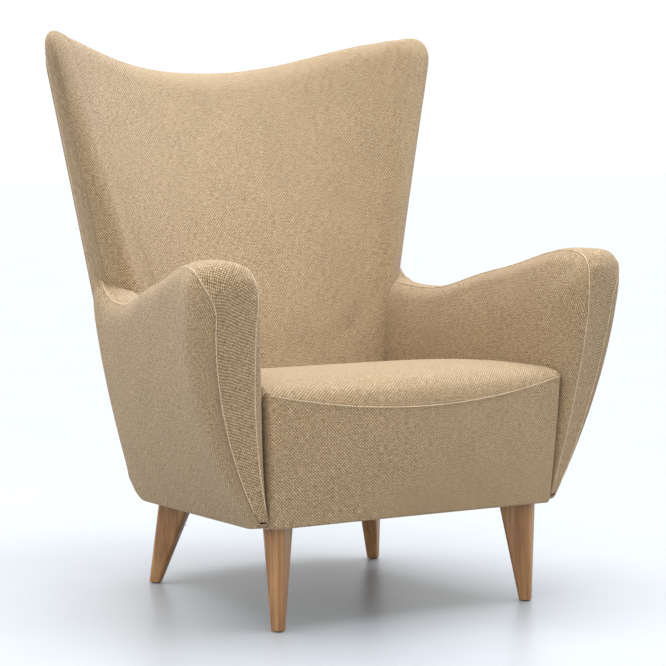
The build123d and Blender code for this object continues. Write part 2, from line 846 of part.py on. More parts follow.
# The origin lies under the middle of the chair's depth
front_reach = arm_cover_right.bounding_box().min.Y
rear_reach = outside_back_panel.bounding_box().max.Y
shift = -(front_reach + rear_reach) / 2
print("depth", rear_reach - front_reach, "shift", shift)
for name, shape in pieces.items():
    export_step(Pos(0, shift, 0) * shape, "parts/" + name + ".step")
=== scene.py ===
# %% [markdown]
# An upholstered wing-back armchair, dressed in Blender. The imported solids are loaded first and
# never moved. Every panel of cloth is then laid over the form that the solids give, sewn edge
# to edge, and swollen a little by a cloth simulation, as a panel over foam is.

# %% Load the frame
import json
import math

import bpy
import numpy as np
from mathutils import Matrix, Vector


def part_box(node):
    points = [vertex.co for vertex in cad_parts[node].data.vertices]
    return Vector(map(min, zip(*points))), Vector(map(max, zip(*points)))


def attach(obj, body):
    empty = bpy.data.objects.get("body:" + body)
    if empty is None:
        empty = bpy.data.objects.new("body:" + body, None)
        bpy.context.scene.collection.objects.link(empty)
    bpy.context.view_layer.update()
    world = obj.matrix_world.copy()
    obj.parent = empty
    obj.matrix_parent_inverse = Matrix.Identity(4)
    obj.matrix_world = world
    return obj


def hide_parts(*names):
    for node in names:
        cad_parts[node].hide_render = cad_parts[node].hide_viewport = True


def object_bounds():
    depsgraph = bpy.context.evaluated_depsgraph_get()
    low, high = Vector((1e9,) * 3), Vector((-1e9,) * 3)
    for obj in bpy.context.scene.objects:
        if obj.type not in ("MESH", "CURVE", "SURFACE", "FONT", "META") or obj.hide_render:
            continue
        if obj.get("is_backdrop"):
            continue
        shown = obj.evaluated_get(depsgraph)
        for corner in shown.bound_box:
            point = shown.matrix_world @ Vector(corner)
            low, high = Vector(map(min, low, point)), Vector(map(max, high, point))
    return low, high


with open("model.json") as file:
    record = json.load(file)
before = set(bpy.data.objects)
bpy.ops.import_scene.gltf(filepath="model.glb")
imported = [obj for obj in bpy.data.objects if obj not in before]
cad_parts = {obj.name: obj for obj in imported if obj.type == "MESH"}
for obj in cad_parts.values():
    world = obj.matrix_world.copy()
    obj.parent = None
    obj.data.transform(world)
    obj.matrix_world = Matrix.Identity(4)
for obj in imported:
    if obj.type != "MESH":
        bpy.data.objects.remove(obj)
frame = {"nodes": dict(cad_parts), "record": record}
solid_low, solid_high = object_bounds()
print("solids", [round(v, 3) for v in solid_low], [round(v, 3) for v in solid_high])

# %% [markdown]
# The arms and the back are curved in every direction, so no primitive comes near them. Their
# forms are written as formulas in metres: a section with a few sizes, and how those sizes change
# from one end to the other. A flat grid is then laid on such a form, which also gives each panel
# the straight grain that cut cloth has.

# %% Sizes of the body
underside_front = 0.184
underside_slope = math.tan(math.radians(3.0))
border_y = -0.416
side_gap = 0.0008

arm_inner_half = 0.296
arm_splay = 0.103
arm_lean = 0.075
arm_nose_y = -0.404
arm_nose_lean = -0.19
arm_nose_turn = 0.34
arm_rear_y = 0.218
arm_foot = (0.318, 0.249)
arm_shoulder = (0.457, 0.344)
arm_bulge = (0.034, 0.010)
arm_peak = (-0.389, 0.650)
arm_dip = (0.026, 0.558)
arm_meet = (0.165, 0.574)
arm_inner_drop = 0.080
arm_outer_drop = (0.068, 0.048)
shoulder_square = 0.26
climb_run = (0.070, 0.190)
arm_climb = 0.070
nose_length = 0.040
facing_share = 0.45
facing_shift = -0.008
nose_cut = 0.046
nose_lift = 0.012
rear_round = 0.062
rear_lift = 0.066
rear_share = 0.7
square_run = (0.60, 0.85)
climb_places = (1.8, 3.0)
arm_centre = 0.47
under_gap = 0.0006
arm_span = arm_rear_y - arm_nose_y


def between(ends, share):
    return ends[0] + (ends[1] - ends[0]) * share


def clamp(value):
    return min(max(value, 0.0), 1.0)


def part_of(ends, value):
    """Which share of the way from one end to the other a value has gone, held to 0 and 1."""
    return clamp((value - ends[0]) / (ends[1] - ends[0]))


def underside(y):
    return underside_front - (y - border_y) * underside_slope


def arm_inner(y, z):
    return arm_inner_half - arm_splay * (y - arm_nose_y) + arm_lean * (z - underside_front)


print("arm", round(arm_span, 3), "m long, its foot", round(underside(arm_nose_y), 3), "m high")

# %% [markdown]
# The arm is a run of upright sections. Each one has a flat inner face, a round top and a full
# outer flank. At the nose the sections are drawn in and lowered along a quarter circle, which
# rounds the front. At the rear the outer half of the top sweeps up to the wing's edge, while the
# inner half stays low. The place round a section is a number: 0 to 1 up the inner face, 1 to 3
# over the top, 3 to 4 down the flank and 4 to 5 along the bottom. Lofted curves could give such an
# arm too. A formula was chosen because all three panels of cloth can then be laid on one form.

# %% The arm's form
nose_run = 0.060
rear_run = 0.076
main_run = arm_span - nose_length - rear_round
arm_run = nose_run + main_run + rear_run


def crest_height(y):
    if y < arm_peak[0]:
        return arm_peak[1]
    if y < arm_dip[0]:
        share = (y - arm_peak[0]) / (arm_dip[0] - arm_peak[0])
        wave = 0.5 + 0.5 * math.cos(math.pi * share)
        fall = wave + (1 - share - wave) * math.sin(math.pi * share) ** 2
        return arm_dip[1] + (arm_peak[1] - arm_dip[1]) * fall
    share = (y - arm_dip[0]) / (arm_meet[0] - arm_dip[0])
    return arm_dip[1] + (arm_meet[1] - arm_dip[1]) * share**2


def climb_at(y, place):
    reach = part_of(climb_run, y)
    share = part_of(climb_places, place)
    return arm_climb * (1 - math.sqrt(1 - reach**2)) * share * share * (3 - 2 * share)


def arm_spot(run, place):
    """A point of the right arm, run metres behind the facing, at a place round the section."""
    squeeze, rear_squeeze, cut, lift = 1.0, 1.0, 0.0, 0.0
    if run < nose_run:
        turn_angle = math.pi / 2 * max(run, 0.0) / nose_run
        bow = math.sin(turn_angle)
        along = nose_length * (1 - math.cos(turn_angle))
        squeeze = facing_share + (1 - facing_share) * bow
        cut = nose_cut * (1 - bow)
        lift = nose_lift * (1 - bow)
    elif run < nose_run + main_run:
        along = nose_length + run - nose_run
    else:
        turn_angle = math.pi / 2 * min((arm_run - run) / rear_run, 1.0)
        bow = math.sin(turn_angle)
        along = arm_span - rear_round * (1 - math.cos(turn_angle))
        rear_squeeze = between((rear_share, 1.0), bow)
        lift = rear_lift * (1 - bow)
    share = along / arm_span
    base_y = arm_nose_y + along
    lean = arm_nose_lean * (1 - share)
    turn = arm_nose_turn * (1 - share)
    floor = underside(base_y)
    crest_y = base_y + lean * (arm_dip[1] - floor)
    top = crest_height(crest_y) - cut
    foot, out = between(arm_foot, share), between(arm_shoulder, share)
    bulge = between(arm_bulge, share)
    low = floor + lift + under_gap
    in_z = top - arm_inner_drop
    out_z = top - between(arm_outer_drop, share)

    def inner_x(z):
        flat_y = along + lean * (z - floor) - turn * arm_inner_half
        rise = arm_lean * (z - underside_front)
        return (arm_inner_half - arm_splay * flat_y + rise) / (1 + arm_splay * turn)

    def outer_x(z):
        part = (z - floor) / (out_z - floor)
        return foot + (out - foot) * part + 4 * bulge * part * (1 - part)

    in_top = inner_x(in_z)
    centre = in_top + (out - in_top) * arm_centre
    if place < 1:
        z = low + (in_z - low) * place
        x = inner_x(z)
    elif place < 2:
        angle = math.pi / 2 * (place - 1)
        x = centre - (centre - in_top) * math.cos(angle)
        z = in_z + (top - in_z) * math.sin(angle) + climb_at(crest_y, place)
    elif place < 3:
        angle = math.pi / 2 * (3 - place)
        square = 1 - shoulder_square * (1 - part_of(square_run, share))
        x = centre + (out - centre) * max(math.cos(angle), 0.0) ** square
        z = out_z + (top - out_z) * math.sin(angle) ** square + climb_at(crest_y, place)
    elif place < 4:
        high = out_z + climb_at(crest_y, 3)
        z = high + (low - high) * (place - 3)
        x = outer_x(min(z, out_z))
    else:
        z = low
        x = outer_x(low) + (inner_x(low) - outer_x(low)) * (place - 4)
    edge_in, edge_out = inner_x(min(z, in_z)), outer_x(min(z, out_z))
    middle = (edge_in + edge_out) / 2
    x = middle + (x - middle) * squeeze + facing_shift * (1 - squeeze) / (1 - facing_share)
    x = edge_in + (x - edge_in) * rear_squeeze
    return Vector((x, base_y + lean * (z - floor) + turn * (x - arm_inner_half), z))


print("arm runs", round(arm_run, 3), "m, dip at", [round(c, 3) for c in arm_spot(0.4, 2)])

# %% [markdown]
# The back is bent round the sitter, more at the top than at the bottom, and its thickness shuts
# at the wings' edges along a quarter circle. The crest is lowest in the middle and climbs to
# the two ears. Share runs from -1 at one wing to 1 at the other. It could be sculpted from a
# subdivided cube. Two bent faces that blend from low to high were chosen instead, because they
# keep to sizes that can be read and changed.

# %% The back's form
back_level = (0.430, 0.933)
back_low = 0.372
outer_low = (0.325, 0.104, 0.321)
outer_high = (0.428, 0.238, 0.447)
inner_low = (0.280, 0.040, 0.137)
inner_high = (0.381, 0.192, 0.362)
lumbar = 0.008
lumbar_edge = 0.1
lumbar_power = 0.756
crest_z = 0.9835
crest_rise = 0.071
crest_reach = 0.92
crest_power = 1.15
crest_drop = 0.042
ear_cut = 0.052
wing_edge = 0.042
wing_reach = 0.455
wing_half_edge = 0.0012
rear_panel_t = 0.010
panel_gap = 0.002


def bend(size, share):
    half, sag, centre_y = size
    radius = (half * half + sag * sag) / (2 * sag)
    turn = math.atan(half / (radius - sag)) * share
    return Vector((radius * math.sin(turn), centre_y - radius * (1 - math.cos(turn))))


def face_at(low, high, share, z):
    part = (z - back_level[0]) / (back_level[1] - back_level[0])
    return bend(low, share).lerp(bend(high, share), part)


def inward(share):
    z = sum(back_level) / 2
    front = face_at(inner_low, inner_high, share, z)
    rear = face_at(outer_low, outer_high, share, z)
    return (front - rear).normalized()


def crest_at(share):
    part = min(abs(share) / crest_reach, 1.0) ** crest_power
    return crest_z + crest_rise * (0.5 - 0.5 * math.cos(math.pi * part))


def back_spot(share, bow, place):
    """A point of the padded back. Place runs 0 to 1 up the front, 1 to 2 over the crest and
    2 to 3 down the rear."""
    w = inward(share)
    top = crest_at(share) - ear_cut * (1 - bow)
    knee = top - crest_drop
    full = 0.0
    if place < 1:
        z, across = back_low + (knee - back_low) * place, -1.0
        full = lumbar * between((lumbar_edge, 1.0), bow) * math.sin(math.pi * place**lumbar_power)
    elif place < 2:
        angle = math.pi * (place - 1)
        z, across = knee + crest_drop * math.sin(angle), -math.cos(angle)
    else:
        z, across = knee + (back_low - knee) * (place - 2), 1.0
    rear = face_at(outer_low, outer_high, share, z) + w * rear_panel_t
    front = face_at(inner_low, inner_high, share, z)
    half = (rear - front) / 2 * bow - w * wing_half_edge * (1 - bow)
    spot = (rear + front) / 2 + half * across + w * full
    return Vector((spot.x, spot.y, z))


rear_top = face_at(outer_low, outer_high, 0.0, crest_z - crest_drop - panel_gap).y
shift = Vector((0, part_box("outside_back_panel")[1].y - rear_top, 0))
print("shift to the middle of the depth", round(shift.y, 4))

# %% [markdown]
# A sewn panel ends in a seam. Its edge rolls in over a few millimetres, and just before the roll
# the folded cloth under it makes a slight ridge. An edge is told by three sizes: how deep it
# rolls, how round, and how high the ridge stands beside it. A panel's rows lie close together
# near its edges, where the roll needs them, and wider apart between.

# %% Helpers that space a panel's rows and roll its edges
cloth_step = 0.009
edge_band = 0.012
edge_steps = 8
edge_fade = 0.030
wide_fade = 0.12
ridge_width = 0.0022
welted = (0.0008, 0.0024, 0.0007)
sewn = (0.0008, 0.0024, 0.0002)
tucked = (0.006, 0.008, 0.0)
boxed = (0.028, 0.012, 0.0)
pulled = (0.0105, 0.030, 0.0)
loose = (0.0, 0.004, 0.0)


def steps_along(length, step):
    """Shares from 0 to 1, close together near both ends and even between them."""
    edge = edge_band / length
    count = max(4, round((length - 2 * edge_band) / step))
    start = [edge * i / edge_steps for i in range(edge_steps)]
    middle = [edge + (1 - 2 * edge) * i / count for i in range(count + 1)]
    return start + middle + [1 - s for s in reversed(start)]


def rolled(distance, depth, radius, ridge):
    """How far a seam's roll and ridge move the cloth, at that distance from the edge."""
    inside = np.clip(1 - distance / radius, 0, 1)
    drop = -depth * (1 - np.sqrt(1 - inside**2))
    return drop + ridge * np.exp(-(((distance - radius) / ridge_width) ** 2))


print("a side 0.5 m long has", len(steps_along(0.5, cloth_step)), "rows")

# %% [markdown]
# Cloth has a grain: its yarns run straight along the piece that was cut. A UV map in metres gives
# the weave one size on all panels. There are three ways to measure it: along the grid, level on an
# upright side, and square to the middle line of a long band.

# %% Helpers that lay the grain
def arc_lengths(points, axis):
    gaps = np.linalg.norm(np.diff(points, axis=axis), axis=2)
    zero = np.zeros_like(np.take(gaps, [0], axis=axis))
    return np.concatenate([zero, np.cumsum(gaps, axis=axis)], axis=axis)


def from_middle(points):
    """Lengths across a panel, measured from its middle line."""
    across = arc_lengths(points, 0)
    middle = len(points) // 2
    return across - across[middle : middle + 1]


def even_grain(points):
    """Grain along the grid itself."""
    return np.stack([from_middle(points), arc_lengths(points, 1)], axis=2)


def hung_grain(points):
    """Grain along a side, with the yarns level at the middle of its height."""
    up = arc_lengths(points, 1)
    level = slice(points.shape[1] // 2, points.shape[1] // 2 + 1)
    return np.stack([from_middle(points), up - up[:, level] + points[:, level, 2]], axis=2)


def band_grain(points):
    """Grain square to the middle line of a long band."""
    across = from_middle(points)
    along = np.broadcast_to(arc_lengths(points, 1)[len(points) // 2], across.shape)
    return np.stack([across, along], axis=2)


# %% [markdown]
# The next helper lays a grid on a form, adds the rolled edges along the surface's own normals and
# writes the UV map. Each point also keeps how firmly the seam holds it: fully at the edge, and less
# and less over the fade.

# %% A helper that lays a panel of cloth on a form
def lay_panel(name, across, up, spot, seams, turned=False, grain=even_grain, fade=edge_fade):
    """A grid of cloth. spot(a, b) gives its points for shares a across and b up, and seams tell
    its left, right, lower and upper edge. A turned panel has its face on the other side."""
    points = np.array([[tuple(spot(a, b) + shift) for b in up] for a in across])
    normals = np.cross(np.gradient(points, axis=0), np.gradient(points, axis=1))
    normals /= np.maximum(np.linalg.norm(normals, axis=2, keepdims=True), 1e-12)
    if turned:
        normals = -normals
    rows, columns = arc_lengths(points, 0), arc_lengths(points, 1)
    distances = (rows, rows[-1:] - rows, columns, columns[:, -1:] - columns)
    lift = sum(rolled(distance, *edge) for distance, edge in zip(distances, seams))
    points = points + normals * lift[:, :, None]
    weave = grain(points)

    bpy.ops.object.select_all(action="DESELECT")
    bpy.ops.mesh.primitive_grid_add(
        x_subdivisions=len(across) - 1, y_subdivisions=len(up) - 1, size=2)
    panel = bpy.context.object
    panel.name = panel.data.name = name
    flat = np.array([tuple(v.co) for v in panel.data.vertices])
    i = np.rint((flat[:, 0] + 1) / 2 * (len(across) - 1)).astype(int)
    j = np.rint((flat[:, 1] + 1) / 2 * (len(up) - 1)).astype(int)
    panel.data.vertices.foreach_set("co", points[i, j].astype(np.float32).ravel())
    corner = np.array([loop.vertex_index for loop in panel.data.loops])
    weave_map = panel.data.uv_layers[0]
    weave_map.name = "weave"
    weave_map.data.foreach_set("uv", weave[i, j][corner].astype(np.float32).ravel())
    if turned:
        panel.data.flip_normals()
    panel.data.update()
    held = panel.vertex_groups.new(name="seams")
    edge = np.minimum.reduce(distances)[i, j]
    hold = np.clip(1 - (edge - edge_band) / fade, 0, 1)
    for index in np.nonzero(hold > 0)[0]:
        held.add([int(index)], float(hold[index]), "REPLACE")
    kept = panel.data.attributes.new("hold", "FLOAT", "POINT")
    kept.data.foreach_set("value", hold.astype(np.float32))
    return panel


# %% [markdown]
# Foam pushes its cover out between the seams. A cloth simulation with a little pressure does the
# same: the seams are pinned, gravity is off, and the movement is held to a few millimetres, because
# the form already has the chair's true fullness. Solidify then gives the cloth its thickness, and
# one subdivision smooths it.

# %% Helpers that swell and finish a panel
cloth_t = 0.0025
swell_frames = 20
swell_pressure = 4.0
fullness = {
    "arm_band_right": 0.003, "arm_inside_right": 0.006, "arm_outside_right": 0.004,
    "back_cover": 0.004, "outside_back": 0.002, "seat_top": 0.004, "front_panel": 0.003,
}


def only(piece):
    bpy.ops.object.select_all(action="DESELECT")
    piece.select_set(True)
    bpy.context.view_layer.objects.active = piece


def swell(piece):
    only(piece)
    most = fullness[piece.name]
    rest = np.array([tuple(v.co) for v in piece.data.vertices])
    hold = np.array([[a.value] for a in piece.data.attributes["hold"].data])
    push = piece.modifiers.new("swell", "CLOTH")
    settings = push.settings
    settings.quality = 5
    settings.mass = 0.3
    settings.tension_stiffness = 25
    settings.compression_stiffness = 25
    settings.bending_stiffness = 2
    settings.vertex_group_mass = "seams"
    settings.use_pressure = True
    settings.uniform_pressure_force = swell_pressure
    settings.effector_weights.gravity = 0.0
    push.collision_settings.use_collision = False
    push.point_cache.frame_end = swell_frames
    for step in range(1, swell_frames + 1):
        bpy.context.scene.frame_set(step)
    bpy.ops.object.modifier_apply(modifier=push.name)
    bpy.context.scene.frame_set(1)
    moved = np.array([tuple(v.co) for v in piece.data.vertices]) - rest
    size = np.linalg.norm(moved, axis=1, keepdims=True)
    moved = moved * most * np.tanh(size / most) / np.maximum(size, 1e-9) * (1 - hold)
    piece.data.vertices.foreach_set("co", (rest + moved).astype(np.float32).ravel())
    piece.data.update()
    furthest = float(np.linalg.norm(moved, axis=1).max())
    print(piece.name, "swells by", round(furthest * 1000, 1), "mm")


def finish_panel(piece):
    only(piece)
    wall = piece.modifiers.new("cloth", "SOLIDIFY")
    wall.thickness = cloth_t
    wall.offset = -1.0
    bpy.ops.object.modifier_apply(modifier=wall.name)
    smooth = piece.modifiers.new("smooth", "SUBSURF")
    smooth.levels = smooth.render_levels = 1
    smooth.uv_smooth = "PRESERVE_BOUNDARIES"
    bpy.ops.object.modifier_apply(modifier=smooth.name)
    bpy.ops.object.shade_smooth()
    piece.vertex_groups.clear()
    print(piece.name, len(piece.data.polygons), "faces")


def mirror_copy(piece, name):
    """The same panel for the left side, with its own mesh."""
    twin = piece.copy()
    twin.data = piece.data.copy()
    twin.name = twin.data.name = name
    bpy.context.scene.collection.objects.link(twin)
    twin.data.transform(Matrix.Scale(-1, 4, (1, 0, 0)))
    twin.data.flip_normals()
    return twin


# %% [markdown]
# The arm wears three panels. The band lies along the top, turns over the nose and runs down the
# front as the facing. The inner panel covers the flat side by the seat. The outer panel covers the
# flank, turns round the rear corner and closes the underside. Their seams are two lines on the
# arm's form. The band runs a hair past both, under the edges of its neighbours, as the seam
# allowance of sewn cloth does, so that no seam gapes.

# %% The arm's seams
seam_inner = 1.80
seam_outer = 2.46
seam_ease = 0.120
seam_round = (0.32, 0.40)
seam_turn = 0.036
turn_blend = 0.6
allowance = 0.016
facing_lap = 0.08
facing_length = 0.40
tuck_length = 0.545
tuck_run = nose_run + tuck_length
band_length = facing_length + tuck_run


def inner_seam(run):
    """Where the inner seam lies on the section, drawn down at the nose to round its corner."""
    return seam_inner - seam_round[0] * max(0.0, 1 - run / seam_ease) ** 2


def outer_seam(run):
    """Where the outer seam lies, drawn down at the nose likewise."""
    ease = max(0.0, 1 - math.sqrt(max(run, 0.0) / seam_ease))
    return seam_outer + seam_round[1] * ease**1.5


def inner_start(height):
    """How far behind the facing its inner seam lies, more at the top than at the foot."""
    height = max(height, 0.0)
    return seam_turn * (turn_blend * height**1.5 + (1 - turn_blend) * height**6)


def outer_lap(height):
    """Which share of the flat facing the outer panel laps over."""
    return facing_lap * math.sin(math.pi * clamp(height))


def facing_ends(height):
    return arm_spot(0, inner_seam(0) * height), arm_spot(0, 4 + (outer_seam(0) - 4) * height)


facing_widths = [round((b - a).length, 3) for a, b in map(facing_ends, (0, 1))]
print("facing", facing_widths, "m wide at its foot and top")

# %% [markdown]
# Each panel gets a function that says where its points lie on the arm. The outer panel laps a
# little over the flat facing, and behind the rear corner it is drawn in to the arm's inner side,
# so that the arm is closed all round.

# %% The arm's panels
rear_cap = 0.045
flank_length = arm_run + rear_cap
lap_run = 0.040
close_gap = 0.001
band_width = 0.075
band_step = 0.008
inside_height = 0.44
flank_height = 0.50


def band_spot(across, along):
    """Along runs 0 to 1 from the foot of the facing up and over the nose to the back."""
    across = -allowance + (1 + 2 * allowance) * across
    fade = (1 - clamp(across)) ** 3
    if along > facing_length / band_length:
        run = (along * band_length - facing_length) / (band_length - facing_length) * tuck_run
        place = between((inner_seam(run), outer_seam(run)), across)
        return arm_spot(run + seam_turn * max(0.0, 1 - run / seam_ease) * fade, place)
    height = along * band_length / facing_length
    left, right = facing_ends(height)
    straight = left.lerp(right, across * (1 - outer_lap(height)))
    top_left, top_right = facing_ends(1)
    crown = arm_spot(0, between((inner_seam(0), outer_seam(0)), across))
    arch = crown - top_left.lerp(top_right, across)
    turned = arm_spot(inner_start(height) * fade, inner_seam(0) * height) - left
    return straight + arch * height**3 + turned


def inner_arm_spot(along, up):
    start = inner_start(up)
    run = start + along * (tuck_run - start)
    line = max(0.0, (run - seam_turn) / (1 - seam_turn / seam_ease)) if run < seam_ease else run
    return arm_spot(run, inner_seam(line) * up)


def outer_arm_spot(along, up):
    run = along * flank_length
    place = 5 + (outer_seam(run) - 5) * up
    if run < lap_run and place < 4:
        height = (place - 4) / (outer_seam(run) - 4)
        left, right = facing_ends(height)
        lap = (right - left).length * outer_lap(height)
        run = run / lap_run * (lap_run + lap) - lap
        if run < 0:
            return right + (right - left).normalized() * run
    if run <= arm_run:
        return arm_spot(run, place)
    closed = (run - arm_run) / rear_cap
    flank = arm_spot(arm_run, place)
    inner = Vector((arm_inner(flank.y, flank.z) + close_gap, flank.y, flank.z))
    return flank.lerp(inner, closed)


arm_band = lay_panel(
    "arm_band_right", steps_along(band_width, band_step), steps_along(band_length, cloth_step),
    band_spot, (welted, welted, tucked, loose), grain=band_grain)
arm_inside = lay_panel(
    "arm_inside_right", steps_along(tuck_run, cloth_step), steps_along(inside_height, cloth_step),
    inner_arm_spot, (sewn, loose, tucked, sewn), turned=True, grain=hung_grain)
arm_outside = lay_panel(
    "arm_outside_right", steps_along(flank_length, cloth_step),
    steps_along(flank_height, cloth_step), outer_arm_spot,
    (sewn, tucked, tucked, welted), grain=hung_grain)
print("arm panels", [len(p.data.polygons) for p in (arm_band, arm_inside, arm_outside)])

# %% [markdown]
# The two arms are cut from the same pattern, once as it is and once turned over. So the right
# arm's panels are swollen and finished first, and each is then copied and its mesh mirrored. That
# turns the faces inside out, and the copy's normals are flipped back. A Mirror modifier would leave
# both arms in one object, and here each panel is a piece of its own.

# %% Swell and mirror the arm's panels
for panel in (arm_band, arm_inside, arm_outside):
    swell(panel)
    finish_panel(panel)
    mirror_copy(panel, panel.name.replace("right", "left"))

# %% [markdown]
# The inside of the back is one smooth piece of cloth that goes from the seat up over the crest and
# round the wings, with no seam in sight. It is a closed padded form here: the grid goes up the
# front, over the crest and down the rear, and the thin ends at the wings are shut. A front and a
# rear panel could be sewn together, but that would leave a line along the crest.

# %% The padded back
wing_steps = 9
middle_steps = 58
front_rows, crest_rows, rear_rows = 60, 20, 30


def back_stations():
    edge = []
    for i in range(wing_steps + 1):
        angle = math.pi / 2 * i / wing_steps
        edge.append((1 - wing_edge * (1 - math.cos(angle)) / wing_reach, math.sin(angle)))
    inner_end = edge[-1][0]
    middle = [(-inner_end + 2 * inner_end * i / middle_steps, 1.0) for i in range(1, middle_steps)]
    return [(-s, b) for s, b in edge] + middle + edge[::-1]


stations = back_stations()
back_places = [i / front_rows for i in range(front_rows)]
back_places += [1 + i / crest_rows for i in range(crest_rows)]
back_places += [2 + i / rear_rows for i in range(rear_rows + 1)]
back_cover = lay_panel(
    "back_cover", list(range(len(stations))), back_places,
    lambda i, place: back_spot(*stations[i], place), (loose, loose, loose, loose), fade=wide_fade)
print("back cover", len(back_cover.data.polygons), "faces")

# %% [markdown]
# The laid grid is still open along its rim: at the two wing edges and at the foot, where front and
# rear meet. After the swelling the rim's edges are selected as the open boundary and filled with
# one face, and that face is cut into triangles so that it can bend.

# %% Swell the back, close its rim and smooth it
swell(back_cover)
only(back_cover)
bpy.ops.object.mode_set(mode="EDIT")
bpy.ops.mesh.select_all(action="DESELECT")
bpy.ops.mesh.select_mode(type="EDGE")
bpy.ops.mesh.select_non_manifold(
    extend=False, use_wire=False, use_boundary=True, use_multi_face=False,
    use_non_contiguous=False, use_verts=False)
bpy.ops.mesh.edge_face_add()
bpy.ops.mesh.quads_convert_to_tris()
bpy.ops.object.mode_set(mode="OBJECT")
smooth = back_cover.modifiers.new("smooth", "SUBSURF")
smooth.levels = smooth.render_levels = 1
bpy.ops.object.modifier_apply(modifier=smooth.name)
bpy.ops.object.shade_smooth()
back_cover.vertex_groups.clear()
print("closed back", len(back_cover.data.polygons), "faces")

# %% [markdown]
# The outside of the back is a separate panel, pulled tight over a board and blind-sewn along its
# edges. It follows the same bend from the underside of the chair to just below the crest. A copy of
# the back's rear faces could do for it. A grid of its own was chosen, because its edges can then
# roll in deeply, as cloth does where it is pulled over the edge of a board.

# %% The outside of the back
panel_share = 0.93
corner_share = 0.75
rear_corner = 0.046
outside_size = 0.80
panel_foot = underside(arm_rear_y) + panel_gap


def outside_spot(across, up):
    share = panel_share * (1 - 2 * across)
    top = crest_at(share) - crest_drop - panel_gap
    past = max(0.0, abs(share) - corner_share) / (panel_share - corner_share)
    foot = panel_foot + rear_corner * (1 - math.sqrt(max(0.0, 1 - past**2)))
    z = foot + (top - foot) * up
    spot = face_at(outer_low, outer_high, share, z)
    return Vector((spot.x, spot.y, z))


outside_steps = steps_along(outside_size, cloth_step)
outside_back = lay_panel(
    "outside_back", outside_steps, outside_steps, outside_spot,
    (pulled, pulled, tucked, pulled), fade=wide_fade)
swell(outside_back)
finish_panel(outside_back)

# %% [markdown]
# The seat is a crowned top that rolls over the front in a soft lip, down to the seam with the
# front border. Its sides are tucked down between seat and arms. A cube with a subdivision gives a
# soft cushion quickly, but not the seam that bows along the front. So the seat is a laid grid
# too, and its lip goes round along a quarter of an ellipse.

# %% The seat's top
seat_rear_y = 0.116
seat_crown_z = 0.439
seat_side_z = 0.431
seat_fall = 0.086
seat_seam = (0.385, 0.429)
seat_lip = 0.026
seat_roll = 0.044
seat_roll_share = 0.13
seat_hump = 0.066
seat_spread = 0.030
seat_size = 0.60
seat_step = 0.010
seat_half = arm_inner(border_y, seat_seam[1]) + seat_spread


def seat_seam_z(share):
    return between(seat_seam, share**2)


def seat_spot(across, up):
    """Up runs from the front seam over the lip to the rear."""
    side = 2 * across - 1
    y, z = border_y, seat_side_z
    for _ in range(3):
        x = side * (arm_inner(y, z) - side_gap)
        share = x / seat_half
        crown = between((seat_side_z, seat_crown_z), 1 - share**2)
        front = border_y - seat_lip * (1 - share**2)
        seam = seat_seam_z(share)
        if up < seat_roll_share:
            angle = math.pi / 2 * up / seat_roll_share
            y = front + seat_roll * (1 - math.cos(angle))
            z = seam + (crown - seam) * math.sin(angle)
        else:
            part = (up - seat_roll_share) / (1 - seat_roll_share)
            y = front + seat_roll + (seat_rear_y - front - seat_roll) * part
            crown = between((crown, seat_side_z), part)
            fall = seat_fall * (seat_rear_y - border_y) * part
            z = crown - fall + seat_hump * part * (1 - part)
    return Vector((x, y, z))


seat_steps = steps_along(seat_size, seat_step)
seat_top = lay_panel("seat_top", seat_steps, seat_steps, seat_spot, (boxed, boxed, welted, tucked))
swell(seat_top)
finish_panel(seat_top)

# %% [markdown]
# The front border is a flat, lightly padded panel between the two facings. Its upper edge bows with
# the seat's seam. It could be a lower part of the seat's grid. On the chair it is cut as a piece of
# its own, with its own grain, so it is laid as one.

# %% The front border
border_bow = 0.006
border_flat = 0.8
border_lap = 0.003
border_lean = 0.97
border_middle_z = 0.30
border_height = 0.21


def border_spot(across, up):
    side = 2 * across - 1
    foot = underside(border_y)
    y = border_y
    for _ in range(2):
        x = side * (arm_inner(y, border_middle_z) - side_gap)
        share = x / seat_half
        seam = seat_seam_z(share)
        z = foot + (seam + border_lap - foot) * up
        x = side * (arm_inner(y, z) - side_gap)
        lip = seat_lip * (1 - share**2) * border_lean
        bow = 4 * border_bow * (1 - border_flat * share**2) * up * (1 - up)
        y = border_y - lip * up - bow
    return Vector((x, y, z))


front_panel = lay_panel(
    "front_panel", seat_steps, steps_along(border_height, cloth_step), border_spot,
    (boxed, boxed, tucked, sewn))
swell(front_panel)
finish_panel(front_panel)

# %% [markdown]
# Every seam in sight is felled: the two layers are folded to one side and stitched down, which
# leaves a thin raised line that catches the light. A seam is a narrow tube along the line where two
# panels meet. A curve with a round bevel gives an even tube along any line, and it is then turned
# into a mesh.

# %% Helpers that draw a raised seam
cord_radius = 0.0010
cord_rise = 0.0006
aside_share = 0.01
ahead_step = 0.1


def seam_line(spot, lay, outward, count):
    """Points along a seam, lifted off the form by a hair. lay(t, aside) gives the shares that
    spot reads, t along the seam and aside from it."""
    points = []
    for i in range(count):
        here = spot(*lay(i / (count - 1), 0.0))
        beside = spot(*lay(i / (count - 1), aside_share))
        ahead = spot(*lay((i + ahead_step) / (count - 1), 0.0))
        normal = (beside - here).cross(ahead - here).normalized() * outward
        points.append(here + normal * cord_rise + shift)
    return points


